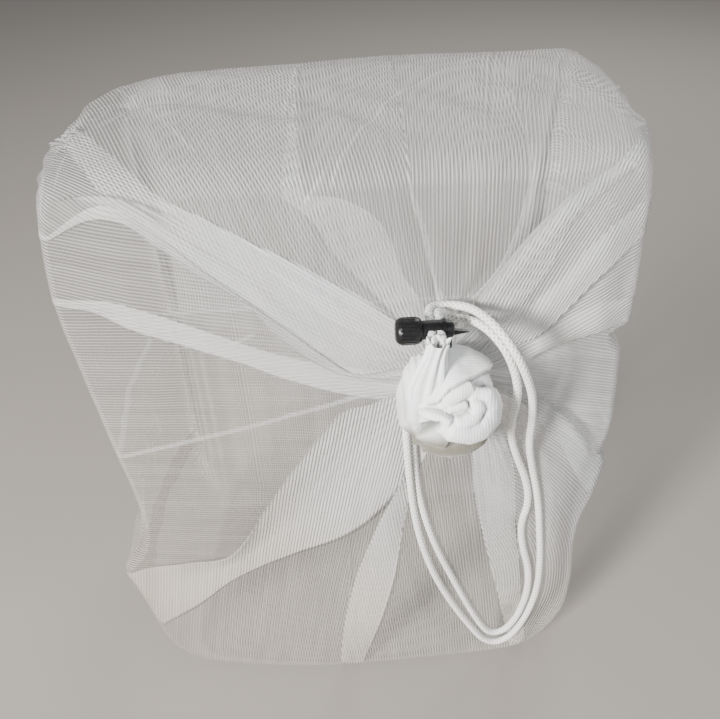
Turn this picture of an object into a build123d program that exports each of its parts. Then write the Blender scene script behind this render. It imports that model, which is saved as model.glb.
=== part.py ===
from build123d import *
import math
import os

# A sheer mesh laundry bag that keeps its filled shape and is drawn shut at the front.
# +Z is up, the bag stands on its flat underside at z = 0, and its gathered mouth faces -Y.
# All sizes are in millimetres.

# --- bag body -----------------------------------------------------------------------------
HEIGHT = 346.0
TOP_HALF_WIDTH = 138.0
BOTTOM_HALF_WIDTH = 130.0
BACK_Y = 101.5
RIM_Y = -42.5            # where the front starts to slope towards the gathered neck
CORNER_R = 28.0
BACK_BEVEL = 12.0        # rounding of the closed end, across and along
RIM_BEVEL = (8.0, 10.5)  # rounding of the front rim, across and along
CLOTH = 1.5              # thickness that the gathered, doubled mesh takes up
SEAM_DEPTH = 3.5         # how far a seam allowance stands into the bag
SEAM_HALF = 1.0
SIDE_SEAM_Z = 185.0      # the side seams halve the girth into two equal panels
SEAM_CORNER_X = 128.0
BACK_SEAM_FROM_Y = 86.0
SEAM_START = 1.4         # where the side seams start, in neck radii from the neck's axis
BEVEL_DRAW_IN = 0.55     # how much further a bevel's ends move in than the wall it joins
FAR = 400.0              # clear of the bag in every direction

# --- gathered neck and mouth --------------------------------------------------------------
NECK_X = 46.0
NECK_Z = 241.0
NECK_R = 10.0
NECK_Y = -52.0           # neck's root on the bag's front
NECK_END_Y = -66.0       # neck's end inside the gathered hem
THROAT_R = 5.0           # hole that drawn cloth leaves in the middle
BALL_Y = -79.0
BALL_R = 22.5            # gathered hem, across
BALL_HALF_HEIGHT = 28.0
LOBE_AT = Vector(38.5, -90.0, 276.0)
LOBE_R = 8.5
LOBE_FOOT_Z = 250.0
STITCH_R = 0.5
STITCH_Y = -57.2

# --- drawstring ---------------------------------------------------------------------------
CORD_R = 1.9
CORD_PITCH = 4.0         # distance between the two runs that pass through the lock
CHANNEL_GAP = 0.05       # cloth to cord inside the hem
RING_R = 13.5
RING_Y = -86.0
RUN_START = -9.9         # ends of the straight runs, along the lock's cord hole
RUN_END = 8.7
KNOT_AT = Vector(29.0, -56.5, 237.5)
KNOT_SIZE = (9.0, 7.0, 11.0)
KNOT_CORNER_R = 2.5

# --- cord lock ----------------------------------------------------------------------------
LOCK_AT = Vector(39.0, -78.0, 282.0)
LOCK_TILT = 2.0          # rise of the cord hole towards the back, in degrees
BARREL_R = 4.2
BARREL_X = (-9.8, 3.0)   # the barrel's rim and the start of its collar
COLLAR_R = 4.8
COLLAR_END_X = 4.3
NOSE = [(COLLAR_END_X, 4.4), (7.0, 3.7), (7.8, 3.0), (7.8, 0)]  # (x, radius)
BORE_R = 2.9
BORE_END_X = 7.0
LUG = ((4.4, 3.0, -1.3), (7.0, 9.5, 1.3))  # two opposite corners
TAIL = [(6.0, 0.0), (14.3, 1.5), (14.3, 1.9), (6.0, 3.4)]
TAIL_WIDTH = 1.6
CORD_HOLE_X = (-4.0, 4.2)
CORD_HOLE_HALF = 2.1     # the two runs lie side by side in a slot this far each way
SHANK_R = 2.8
SHANK_X = (-15.4, 4.75)
SHANK_SLOT_HALF = 2.05
BUTTON_R = 6.15
BUTTON_FLOOR_X = -15.2
BUTTON_CROWN = [(-17.7, 0), (-17.7, 3.6), (-17.2, 4.7), (-16.2, 5.6), (-14.8, BUTTON_R)]
BUTTON_SKIRT = [(-9.0, BUTTON_R), (-7.2, 5.7), (-6.2, 5.0)]
SKIRT_BORE_R = 4.45
SKIRT_END_X = -6.2
PRESS_TRAVEL = 2.0
GRIP_GROOVES = 20
GROOVE_R = 0.55
GROOVE_LENGTH = 8.0
GROOVE_AT = (-12.5, BUTTON_R + 0.25)
SPRING_R = 3.65
SPRING_WIRE_R = 0.25
SPRING_PITCH = 1.2
SPRING_TURNS = 4
SPRING_FROM_X = -14.9

# Control points of the two free strands, from the lock over the gathered hem, down the front
# as a hanging loop and up again to the knot behind the hem.
OUTER_ROUTE = [
    (37.0, -69.31, 282.3), (37.0, -63.5, 282.5), (40.6, -58.0, 281.4), (47.6, -56.8, 280.4),
    (54.5, -61.5, 282.0), (59.5, -70.5, 284.0), (65.5, -80.5, 282.5), (72.5, -87.0, 274.0),
    (78.5, -86.5, 260.0), (83.5, -80.5, 243.5), (86.5, -72.5, 223.0), (88.5, -62.5, 199.0),
    (93.5, -53.5, 174.0), (99.5, -51.5, 147.0), (102.8, -51.2, 119.0), (105.4, -50.8, 93.0),
    (106.2, -50.2, 67.0), (103.2, -49.2, 44.0), (98.5, -48.4, 27.0), (93.2, -47.8, 14.6),
    (84.5, -47.6, 7.6), (75.5, -47.8, 11.4), (67.5, -48.4, 25.5), (55.0, -49.5, 51.5),
    (44.0, -50.9, 79.5), (36.2, -52.2, 107.5), (31.2, -53.6, 136.0), (28.8, -55.4, 162.0),
    (27.4, -57.2, 187.0), (26.6, -57.4, 206.0), (27.0, -56.5, 219.5), (27.0, -56.5, 232.0),
]
INNER_ROUTE = [
    (41.0, -69.31, 282.3), (41.0, -65.0, 282.45), (43.4, -61.7, 279.6), (48.2, -61.3, 276.6),
    (53.3, -64.4, 277.3), (57.9, -70.0, 279.2), (63.4, -77.6, 278.6), (69.4, -83.2, 272.0),
    (73.6, -84.2, 261.0), (76.0, -82.0, 249.5), (76.9, -77.2, 236.5), (77.0, -70.6, 221.5),
    (79.2, -61.5, 202.5), (84.6, -54.6, 182.0), (91.6, -52.8, 162.0), (94.6, -52.2, 143.5),
    (91.2, -52.0, 126.5), (93.4, -51.5, 107.0), (99.0, -50.7, 86.0), (100.4, -49.9, 64.0),
    (97.6, -49.1, 44.0), (93.6, -48.5, 30.0), (87.0, -48.2, 20.0), (78.4, -48.2, 19.6),
    (71.5, -48.5, 32.0), (62.0, -49.4, 56.0), (52.0, -50.5, 84.0), (42.6, -51.8, 112.0),
    (35.8, -52.6, 140.5), (32.0, -53.4, 167.0), (30.4, -53.8, 190.0), (30.6, -55.0, 207.0),
    (31.0, -56.5, 219.5), (31.0, -56.5, 232.0),
]


def save(shape, node):
    """Write one node to its own file."""
    export_step(shape, f"parts/{node}.step")


def front_plane(y):
    """Plane across the bag at one depth, drawn with X to the right and Z up."""
    return Plane(origin=(0, y, 0), x_dir=(1, 0, 0), z_dir=(0, -1, 0))


def prism(points, y_from, y_to):
    """Outline in X and Z, carried along Y."""
    face = front_plane(y_from) * Polygon(*points, align=None)
    return extrude(face, amount=y_to - y_from, dir=(0, 1, 0))


def block(low, high):
    """Box between two corners."""
    size = [b - a for a, b in zip(low, high)]
    middle = [(a + b) / 2 for a, b in zip(low, high)]
    return Pos(*middle) * Box(*size)


def rod(start, end, radius):
    """Round bar between two points."""
    return Solid.make_cylinder(radius, (end - start).length, Plane(origin=start, z_dir=end - start))


# --- cloth --------------------------------------------------------------------------------
def body_section(y, inset):
    """Rounded outline of the bag at one depth, drawn in by inset."""
    low, high = inset, HEIGHT - inset
    foot, head = BOTTOM_HALF_WIDTH - inset, TOP_HALF_WIDTH - inset
    outline = Polygon((-foot, low), (foot, low), (head, high), (-head, high), align=None)
    return front_plane(y) * fillet(outline.vertices(), CORNER_R)


def neck_section(y, half):
    """Nearly round outline of the gathered neck."""
    outline = Pos(NECK_X, NECK_Z) * Rectangle(2 * half, 2 * half)
    return front_plane(y) * fillet(outline.vertices(), 0.95 * half)


def outer_form():
    """The bag's outer form, from the closed end to the neck's root."""
    across, along = RIM_BEVEL
    sections = [
        body_section(BACK_Y, BACK_BEVEL),
        body_section(BACK_Y - BACK_BEVEL, 0.0),
        body_section(RIM_Y + along, 0.0),
        body_section(RIM_Y, across),
        neck_section(NECK_Y, NECK_R),
    ]
    return loft(sections, ruled=True)


def inside_form(inset):
    """The hollow, drawn in by inset, without the neck."""
    across, along = RIM_BEVEL
    slope = BEVEL_DRAW_IN * inset
    sections = [
        body_section(BACK_Y - inset, BACK_BEVEL + slope),
        body_section(BACK_Y - BACK_BEVEL - slope, inset),
        body_section(RIM_Y + along + slope, inset),
        body_section(RIM_Y + inset, across + slope),
        neck_section(NECK_Y + inset, THROAT_R),
    ]
    return loft(sections, ruled=True)


def neck_bar(radius, y_from, y_to):
    """Round bar on the neck's axis."""
    return rod(Vector(NECK_X, y_from, NECK_Z), Vector(NECK_X, y_to, NECK_Z), radius)


def upper_side():
    """Everything above the line where the two panels are sewn together."""
    seam_x, seam_z = SEAM_CORNER_X, SIDE_SEAM_Z
    bend = [(-FAR, seam_z), (-seam_x, seam_z), (NECK_X, NECK_Z), (seam_x, seam_z), (FAR, seam_z)]
    front = prism(bend + [(FAR, FAR), (-FAR, FAR)], -FAR, BACK_SEAM_FROM_Y)
    back = block((-FAR, BACK_SEAM_FROM_Y, seam_z), (FAR, FAR, FAR))
    return front + back


def make_panels():
    """Upper and lower mesh panels, from the closed end to the gathered neck."""
    throat = neck_bar(THROAT_R, NECK_END_Y - 1, RIM_Y + 1)
    shell = outer_form() + neck_bar(NECK_R, NECK_END_Y, NECK_Y + 0.5)
    shell = shell - inside_form(CLOTH) - throat
    upper = upper_side()
    return shell & upper, shell - upper


def seam_band():
    """Layer just inside the cloth that the seam allowances lie in."""
    return inside_form(CLOTH) - inside_form(CLOTH + SEAM_DEPTH)


def side_seam(side):
    """Overlocked allowance from the neck across the front and back along one side."""
    corner = side * SEAM_CORNER_X
    start = NECK_X + side * SEAM_START * NECK_R
    run = (start - NECK_X) / (corner - NECK_X)
    start_z = NECK_Z + run * (SIDE_SEAM_Z - NECK_Z)
    line = [(side * FAR, SIDE_SEAM_Z), (corner, SIDE_SEAM_Z), (start, start_z)]
    above = [(x, z + SEAM_HALF) for x, z in line]
    below = [(x, z - SEAM_HALF) for x, z in reversed(line)]
    return seam_band() & prism(above + below, -FAR, BACK_SEAM_FROM_Y)


def back_seam():
    """Overlocked allowance across the closed end."""
    low = (-FAR, BACK_SEAM_FROM_Y, SIDE_SEAM_Z - SEAM_HALF)
    high = (FAR, BACK_Y, SIDE_SEAM_Z + SEAM_HALF)
    return seam_band() & block(low, high)


def make_hem():
    """Gathered casing: a bundle of folds with a lobe that the drawstring comes out of."""
    bundle = scale(Sphere(BALL_R), by=(1, 1, BALL_HALF_HEIGHT / BALL_R))
    bundle = Pos(NECK_X, BALL_Y, NECK_Z) * bundle
    lobe_foot = Vector(LOBE_AT.X, LOBE_AT.Y, LOBE_FOOT_Z)
    bundle = bundle + rod(lobe_foot, LOBE_AT, LOBE_R) + Pos(*LOBE_AT) * Sphere(LOBE_R)
    bundle = bundle - neck_bar(NECK_R, NECK_END_Y, NECK_Y)
    bundle = bundle - neck_bar(THROAT_R, BALL_Y - 2 * BALL_R, NECK_END_Y + 1)
    return bundle - cord_in_hem(CORD_R + CHANNEL_GAP)


def make_stitching():
    """Line of stitches that closes the casing around the neck."""
    ring = Rot(90, 0, 0) * Torus(NECK_R + STITCH_R, STITCH_R)
    return Pos(NECK_X, STITCH_Y, NECK_Z) * ring


# --- drawstring ---------------------------------------------------------------------------
def hole_direction():
    """Direction of the lock's cord hole."""
    tilt = math.radians(LOCK_TILT)
    return Vector(0, math.cos(tilt), math.sin(tilt))


def cord_in_hem(radius):
    """Drawstring inside the casing, and its two straight runs through the lock."""
    cord = Pos(NECK_X, RING_Y, NECK_Z) * Rot(90, 0, 0) * Torus(RING_R, radius)
    for side in (-1, 1):
        middle = LOCK_AT + Vector(side * CORD_PITCH / 2, 0, 0)
        corner = middle + hole_direction() * RUN_START
        end = middle + hole_direction() * RUN_END
        offset = middle.X - NECK_X
        foot = Vector(middle.X, RING_Y, NECK_Z + math.sqrt(RING_R**2 - offset**2))
        cord = cord + rod(foot, corner, radius) + Pos(*corner) * Sphere(radius)
        cord = cord + rod(corner, end, radius)
    return cord


def corner_radii(points):
    """Arc radius at each point of a route: as large as its two runs allow."""
    radii = []
    for before, here, after in zip(points, points[1:], points[2:]):
        turn = math.radians((here - before).get_angle(after - here))
        shorter = min((here - before).length, (after - here).length)
        radii.append(0.45 * shorter / math.tan(turn / 2))
    return radii


def make_strand(name, route):
    """One free strand: straight runs joined by tangent arcs."""
    points = [Vector(*p) for p in route]
    radii = corner_radii(points)
    path = FilletPolyline(*points, radius=radii)
    start = Plane(origin=path @ 0, z_dir=path % 0)
    strand = sweep(start * Circle(CORD_R), path=path)
    expected = math.pi * CORD_R**2 * path.length
    print(f"{name}: length {path.length:.0f} mm, volume {strand.volume:.0f} of {expected:.0f} mm3")
    print("  arc radii, mm:", [round(r, 1) for r in radii])
    return strand


def make_knot():
    """The drawstring's two ends, tied together behind the gathered hem."""
    knot = Box(*KNOT_SIZE)
    return Pos(*KNOT_AT) * fillet(knot.edges().filter_by(Axis.Z), KNOT_CORNER_R)


# --- cord lock ----------------------------------------------------------------------------
def lock_place():
    """The lock's own frame: X along its barrel, Z along its cord hole."""
    return Plane(origin=LOCK_AT, x_dir=(1, 0, 0), z_dir=hole_direction()).location


def turned(profile):
    """Round body about the barrel's axis from (x, radius) points."""
    return revolve(Polygon(*profile, align=None), Axis.X)


def make_lock_housing():
    """Barrel with a cord hole, a collar, a tapered nose, a lug and a pointed tail."""
    rim_x, collar_x = BARREL_X
    barrel = [(rim_x, 0), (rim_x, BARREL_R), (collar_x, BARREL_R)]
    collar = [(collar_x, COLLAR_R), (COLLAR_END_X, COLLAR_R)]
    body = turned(barrel + collar + NOSE)
    tail = extrude(Polygon(*TAIL, align=None), amount=TAIL_WIDTH)
    body = body + block(*LUG) + Pos(0, 0, -TAIL_WIDTH / 2) * tail
    body = body - turned([(rim_x, 0), (rim_x, BORE_R), (BORE_END_X, BORE_R), (BORE_END_X, 0)])
    hole_from, hole_to = CORD_HOLE_X
    through = COLLAR_R + 1
    cord_hole = block((hole_from, -CORD_HOLE_HALF, -through), (hole_to, CORD_HOLE_HALF, through))
    return lock_place() * (body - cord_hole)


def make_plunger():
    """Ribbed push button with a skirt over the barrel and a slotted shank inside it."""
    bore = [(SKIRT_END_X, SKIRT_BORE_R), (BUTTON_FLOOR_X, SKIRT_BORE_R), (BUTTON_FLOOR_X, 0)]
    button = turned(BUTTON_CROWN + BUTTON_SKIRT + bore)
    groove = Pos(*GROOVE_AT, 0) * Rot(0, 90, 0) * Cylinder(GROOVE_R, GROOVE_LENGTH)
    for index in range(GRIP_GROOVES):
        button = button - Rot(index * 360 / GRIP_GROOVES, 0, 0) * groove
    start_x, end_x = SHANK_X
    shank = turned([(start_x, 0), (start_x, SHANK_R), (end_x, SHANK_R), (end_x, 0)])
    slot_from = CORD_HOLE_X[0] - PRESS_TRAVEL
    slot_to = -CORD_HOLE_X[0]
    through = SHANK_R + 1
    slot = block((slot_from, -SHANK_SLOT_HALF, -through), (slot_to, SHANK_SLOT_HALF, through))
    return lock_place() * (button + shank - slot)


def make_spring():
    """Compression spring between the button's floor and the barrel's rim."""
    coil = Helix(SPRING_PITCH, SPRING_TURNS * SPRING_PITCH, SPRING_R)
    section = Plane(origin=coil @ 0, z_dir=coil % 0) * Circle(SPRING_WIRE_R)
    spring = sweep(section, path=coil, is_frenet=True)
    return lock_place() * Pos(SPRING_FROM_X, 0, 0) * Rot(0, 90, 0) * spring


os.makedirs("parts", exist_ok=True)
upper_panel, lower_panel = make_panels()
save(upper_panel, "upper_panel")
save(lower_panel, "lower_panel")
save(side_seam(-1), "left_seam_overlock")
save(side_seam(1), "right_seam_overlock")
save(back_seam(), "bottom_seam_overlock")
save(make_hem(), "hem_casing")
save(make_stitching(), "hem_stitch_line")
save(cord_in_hem(CORD_R), "drawstring_in_hem")
save(make_strand("outer strand", OUTER_ROUTE), "drawstring_outer_strand")
save(make_strand("inner strand", INNER_ROUTE), "drawstring_inner_strand")
save(make_knot(), "drawstring_knot")
save(make_lock_housing(), "cord_lock_housing")
save(make_plunger(), "cord_lock_plunger")
save(make_spring(), "cord_lock_spring")
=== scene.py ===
from math import atan2, copysign, cos, exp, hypot, pi, radians, sin, sqrt

import bpy
import numpy as np
from mathutils import Matrix, Vector, noise


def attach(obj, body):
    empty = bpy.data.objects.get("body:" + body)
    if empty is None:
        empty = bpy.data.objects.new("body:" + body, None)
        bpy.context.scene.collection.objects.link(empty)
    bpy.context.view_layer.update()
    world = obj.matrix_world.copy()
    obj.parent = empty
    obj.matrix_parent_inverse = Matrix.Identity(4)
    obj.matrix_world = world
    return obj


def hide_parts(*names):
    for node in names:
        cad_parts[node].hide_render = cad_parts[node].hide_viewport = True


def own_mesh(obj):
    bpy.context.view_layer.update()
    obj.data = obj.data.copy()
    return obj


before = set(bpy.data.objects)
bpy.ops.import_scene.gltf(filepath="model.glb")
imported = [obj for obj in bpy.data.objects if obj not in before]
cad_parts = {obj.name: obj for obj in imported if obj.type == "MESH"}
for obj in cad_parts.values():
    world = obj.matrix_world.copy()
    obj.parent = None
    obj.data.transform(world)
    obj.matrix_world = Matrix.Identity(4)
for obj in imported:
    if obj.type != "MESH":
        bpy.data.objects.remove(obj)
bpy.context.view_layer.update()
MM = 0.001
RIB_PITCH = 0.00172

# Materials


class Tree:
    """Short way to write a material's nodes."""

    def __init__(self, name):
        self.mat = bpy.data.materials.new(name)
        self.mat.use_nodes = True
        self.tree = self.mat.node_tree
        self.tree.nodes.clear()
        self.bsdf = self.add("BsdfPrincipled")
        self.add("OutputMaterial", (self.bsdf.outputs[0],))

    def add(self, kind, inputs=(), **settings):
        """Node with its settings; inputs hold values or other nodes' outputs."""
        node = self.tree.nodes.new("ShaderNode" + kind)
        for key, value in settings.items():
            setattr(node, key, value)
        for key, value in inputs.items() if isinstance(inputs, dict) else enumerate(inputs):
            self.put(node.inputs[key], value)
        return node

    def put(self, socket, value):
        if hasattr(value, "is_output"):
            self.tree.links.new(value, socket)
        else:
            socket.default_value = value

    def math(self, operation, a, b=0.0, c=0.0):
        return self.add("Math", (a, b, c), operation=operation).outputs[0]

    def span(self, value, low, high, to_low, to_high, kind="LINEAR"):
        inputs = (value, low, high, to_low, to_high)
        return self.add("MapRange", inputs, interpolation_type=kind).outputs[0]

    def noise(self, scale, detail=2.0, vector=None):
        vector = self.object_xyz() if vector is None else vector
        inputs = {"Vector": vector, "Scale": scale, "Detail": detail}
        return self.add("TexNoise", inputs).outputs[0]

    def object_xyz(self):
        return self.add("TexCoord").outputs["Object"]

    def split(self, vector):
        return self.add("SeparateXYZ", (vector,)).outputs

    def uv(self, name):
        vector = self.add("UVMap", uv_map=name).outputs[0]
        u, v, _ = self.split(vector)
        return vector, u, v

    def attribute(self, name):
        return self.add("Attribute", attribute_name=name).outputs["Fac"]

    def wave(self, value, pitch):
        return self.math("SINE", self.math("MULTIPLY", value, 2 * pi / pitch))

    def mix(self, factor, a, b):
        return self.add("Mix", {0: factor, 6: a, 7: b}, data_type="RGBA").outputs[2]

    def bump(self, height, strength, distance, normal=None):
        inputs = {"Height": height, "Strength": strength, "Distance": distance}
        if normal is not None:
            inputs["Normal"] = normal
        return self.add("Bump", inputs).outputs[0]

    def set(self, **values):
        for key, value in values.items():
            self.put(self.bsdf.inputs[key.replace("_", " ")], value)


def creases(t):
    """Thin lines where the cloth was once pressed flat, on the top and the front."""
    x, y, z = t.split(t.object_xyz())
    total = 0.0
    for kind, (a, b), (c, d) in CREASES:
        first, second = (x, y) if kind == "top" else (x, z)
        along_x, along_y = c - a, d - b
        size = along_x**2 + along_y**2
        gap_x = t.math("SUBTRACT", first, a * MM)
        gap_y = t.math("SUBTRACT", second, b * MM)
        run = t.math("ADD", t.math("MULTIPLY", gap_x, along_x / size / MM),
                     t.math("MULTIPLY", gap_y, along_y / size / MM))
        run = t.math("MINIMUM", t.math("MAXIMUM", run, 0.0), 1.0)
        off_x = t.math("SUBTRACT", gap_x, t.math("MULTIPLY", run, along_x * MM))
        off_y = t.math("SUBTRACT", gap_y, t.math("MULTIPLY", run, along_y * MM))
        gap = t.math("SQRT", t.math("ADD", t.math("MULTIPLY", off_x, off_x),
                                    t.math("MULTIPLY", off_y, off_y)))
        line = t.span(gap, 0.0003, 0.0013, 1.0, 0.0, "SMOOTHSTEP")
        wall = t.span(z, 0.332, 0.338, 0.0, 1.0) if kind == "top" else t.span(
            y, -0.044, -0.038, 1.0, 0.0)
        total = t.math("ADD", t.math("MULTIPLY", line, wall), total)
    return total


# Pressed creases in millimetres: (x, y) on the top, (x, z) on the front.
CREASES = [
    ("top", (-2, -44), (28, 20)), ("top", (28, 20), (78, 74)), ("top", (-18, 90), (-24, 8)),
    ("top", (-112, 62), (-62, -22)), ("top", (96, 40), (133, 12)),
    ("front", (-2, 346), (-14, 330)), ("front", (-54, 263), (-44, 266)),
]


def mesh_cloth():
    """Sheer ribbed mesh: opaque ribs, open ground between them."""
    t = Tree("mesh_cloth")
    vector, u, v = t.uv("rib")
    wander = t.noise(28.0, 2.0)
    u = t.math("MULTIPLY_ADD", wander, 0.0009, u)
    rib = t.wave(u, RIB_PITCH)
    weft = t.wave(v, 0.0009)
    strength = t.span(t.noise(11.0, 2.0), 0.35, 0.65, 0.8, 1.15)
    bold = t.attribute("bold")
    rib = t.math("MULTIPLY", rib, t.math("ADD", bold, 1.0))
    rib_alpha = t.math("MULTIPLY", rib, t.math("MULTIPLY", strength, 0.13))
    alpha = t.math("ADD", rib_alpha, t.math("MULTIPLY", weft, 0.02))
    alpha = t.math("ADD", alpha, t.span(t.noise(6.5, 3.0), 0.3, 0.7, 0.08, 0.15))
    stretch = t.add("VectorMath", (vector, (240.0, 14.0, 0.0)), operation="MULTIPLY")
    streak = t.span(t.noise(1.0, 3.0, stretch.outputs[0]), 0.3, 0.7, -0.05, 0.08)
    alpha = t.math("ADD", alpha, streak)
    edge = t.attribute("edge")
    alpha = t.math("ADD", alpha, t.math("MULTIPLY", edge, 0.30))
    dense = t.attribute("dense")
    alpha = t.math("ADD", alpha, t.math("MULTIPLY", dense, 0.72))
    alpha = t.math("ADD", alpha, t.math("MULTIPLY", creases(t), 0.20))
    alpha = t.add("Clamp", (alpha, 0.05, 1.0)).outputs[0]
    cloudy = t.span(t.noise(9.0, 3.0), 0.35, 0.65, 0.0, 1.0)
    colour = t.mix(cloudy, (0.60, 0.605, 0.615, 1), (0.64, 0.632, 0.61, 1))
    # Painted shade and painted warm reflection: the cloth turns browner and a little darker
    # towards the lower left.
    x, _, z = t.split(t.object_xyz())
    lean = t.math("ADD", z, t.math("MULTIPLY", x, 0.9))
    painted_warm_shade = t.span(lean, -0.08, 0.24, 0.85, 0.0)
    colour = t.mix(painted_warm_shade, colour, (0.62, 0.54, 0.43, 1))
    bump = t.bump(rib, 0.55, 0.0005)
    bump = t.bump(t.noise(420.0, 2.0), 0.12, 0.0004, bump)
    t.set(Base_Color=colour, Alpha=alpha, Normal=bump)
    t.set(Roughness=0.5, Sheen_Weight=0.12, Sheen_Roughness=0.4)
    t.set(Specular_IOR_Level=0.35)
    return t.mat


def hem_cloth():
    """Gathered casing: the same cloth in many layers, opaque, ribs still showing."""
    t = Tree("hem_cloth")
    _, u, _ = t.uv("rib")
    wander = t.noise(60.0, 2.0)
    rib = t.wave(t.math("MULTIPLY_ADD", wander, 0.0012, u), 0.0012)
    cloudy = t.span(t.noise(45.0, 3.0), 0.35, 0.65, 0.0, 1.0)
    colour = t.mix(cloudy, (0.86, 0.89, 0.89, 1), (0.89, 0.89, 0.87, 1))
    # Painted shade with a painted warm reflection: the bundle's underside, hollow and left side
    # are mixed towards dark brown-beige.
    colour = t.mix(t.attribute("painted_shade"), colour, (0.17, 0.158, 0.122, 1))
    # Painted shade in the creases between the folds.
    crevice_shade = t.attribute("crevice_shade")
    colour = t.mix(t.math("MULTIPLY", crevice_shade, 0.8), colour, (0.30, 0.305, 0.30, 1))
    bump = t.bump(rib, 0.2, 0.0003)
    bump = t.bump(t.noise(500.0, 3.0), 0.25, 0.0004, bump)
    t.set(Base_Color=colour, Normal=bump)
    t.set(Roughness=0.6, Sheen_Weight=0.25, Sheen_Roughness=0.5)
    t.set(Specular_IOR_Level=0.3, Subsurface_Weight=0.15, Subsurface_Scale=0.003)
    return t.mat


def drawstring_cloth():
    """Braided polyester cord; the braid itself is modelled, this adds its yarn."""
    t = Tree("drawstring")
    _, u, v = t.uv("lay")
    yarn = t.wave(t.math("ADD", t.math("MULTIPLY", u, 3.0), v), 0.0011)
    tone = t.span(t.noise(60.0, 2.0), 0.35, 0.65, 0.0, 1.0)
    colour = t.mix(tone, (0.93, 0.93, 0.905, 1), (0.88, 0.87, 0.83, 1))
    # Painted shade in the grooves between the braid's yarns.
    groove_shade = t.attribute("groove_shade")
    colour = t.mix(t.math("MULTIPLY", groove_shade, 0.95), colour, (0.40, 0.39, 0.36, 1))
    bump = t.bump(yarn, 0.3, 0.0003)
    bump = t.bump(t.noise(1500.0, 2.0), 0.15, 0.0002, bump)
    t.set(Base_Color=colour, Normal=bump)
    t.set(Roughness=0.55, Sheen_Weight=0.3, Sheen_Roughness=0.4)
    return t.mat


def seam_thread():
    """Overlocked edge: slanting loops of thread."""
    t = Tree("seam_thread")
    _, u, v = t.uv("rib")
    loop = t.wave(t.math("ADD", u, t.math("MULTIPLY", v, 0.6)), 0.0022)
    tone = t.noise(80.0, 2.0)
    colour = t.mix(tone, (0.90, 0.90, 0.88, 1), (0.80, 0.79, 0.76, 1))
    t.set(Base_Color=colour, Normal=t.bump(loop, 0.6, 0.0006), Roughness=0.65)
    t.set(Alpha=t.span(loop, -1, 1, 0.10, 0.22), Sheen_Weight=0.2)
    return t.mat


def plastic(name, base, rough):
    """Satin moulded plastic with faint handling marks."""
    t = Tree(name)
    tone = t.span(t.noise(120.0, 4.0), 0.3, 0.7, 0.0, 1.0)
    lighter = tuple(min(1.0, c * 1.6 + 0.004) for c in base)
    colour = t.mix(tone, (*base, 1), (*lighter, 1))
    worn = t.span(t.noise(700.0, 3.0), 0.35, 0.7, rough - 0.06, rough + 0.1)
    t.set(Base_Color=colour, Roughness=worn, Normal=t.bump(t.noise(2200.0, 2.0), 0.12, 0.0001))
    t.set(Specular_IOR_Level=0.28)
    return t.mat


def spring_steel():
    """Drawn wire."""
    t = Tree("spring_steel")
    tone = t.noise(900.0, 2.0)
    t.set(Base_Color=t.mix(tone, (0.55, 0.55, 0.56, 1), (0.42, 0.42, 0.43, 1)))
    t.set(Metallic=1.0, Roughness=t.span(tone, 0.3, 0.7, 0.25, 0.4))
    return t.mat


MESH_CLOTH = mesh_cloth()
HEM_CLOTH = hem_cloth()
CORD_CLOTH = drawstring_cloth()
THREAD = seam_thread()
LOCK_BLACK = plastic("lock_plastic", (0.004, 0.004, 0.0045), 0.36)
BUTTON_BLACK = plastic("button_plastic", (0.004, 0.004, 0.0045), 0.33)
STEEL = spring_steel()


def add_object(name, data):
    """Object with this data, linked to the scene."""
    obj = bpy.data.objects.new(name, data)
    bpy.context.scene.collection.objects.link(obj)
    return obj


def build(name, points, faces, material, uv=None, uv_name="rib", floats=None):
    """Mesh object from points in metres, with one UV pair per point."""
    mesh = bpy.data.meshes.new(name)
    mesh.from_pydata([tuple(p) for p in points], [], [tuple(f) for f in faces])
    mesh.update()
    if uv is not None:
        layer = mesh.uv_layers.new(name=uv_name)
        index = np.empty(len(mesh.loops), dtype=np.int32)
        mesh.loops.foreach_get("vertex_index", index)
        layer.data.foreach_set("uv", np.asarray(uv, dtype=np.float32)[index].ravel())
    for key, values in (floats or {}).items():
        attribute = mesh.attributes.new(key, "FLOAT", "POINT")
        attribute.data.foreach_set("value", np.asarray(values, dtype=np.float32))
    mesh.polygons.foreach_set("use_smooth", [True] * len(mesh.polygons))
    mesh.materials.append(material)
    obj = add_object(name, mesh)
    return obj


def grid_faces(rows, columns, closed=False, start=0):
    """Quads of a grid numbered row by row."""
    faces = []
    last = columns if closed else columns - 1
    for r in range(rows - 1):
        for c in range(last):
            d = (c + 1) % columns
            faces.append((start + r * columns + c, start + r * columns + d,
                          start + (r + 1) * columns + d, start + (r + 1) * columns + c))
    return faces


# The mesh bag. All numbers in this part are millimetres in the bag's frame.
KNOT_X, KNOT_Z = 46.0, 241.0
NECK_R, NECK_Y = 9.0, -52.0
RIM_Y, WALL_TO, BACK_Y = -42.5, 90.0, 101.0
END_SEAM_Z = 185.0

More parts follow.
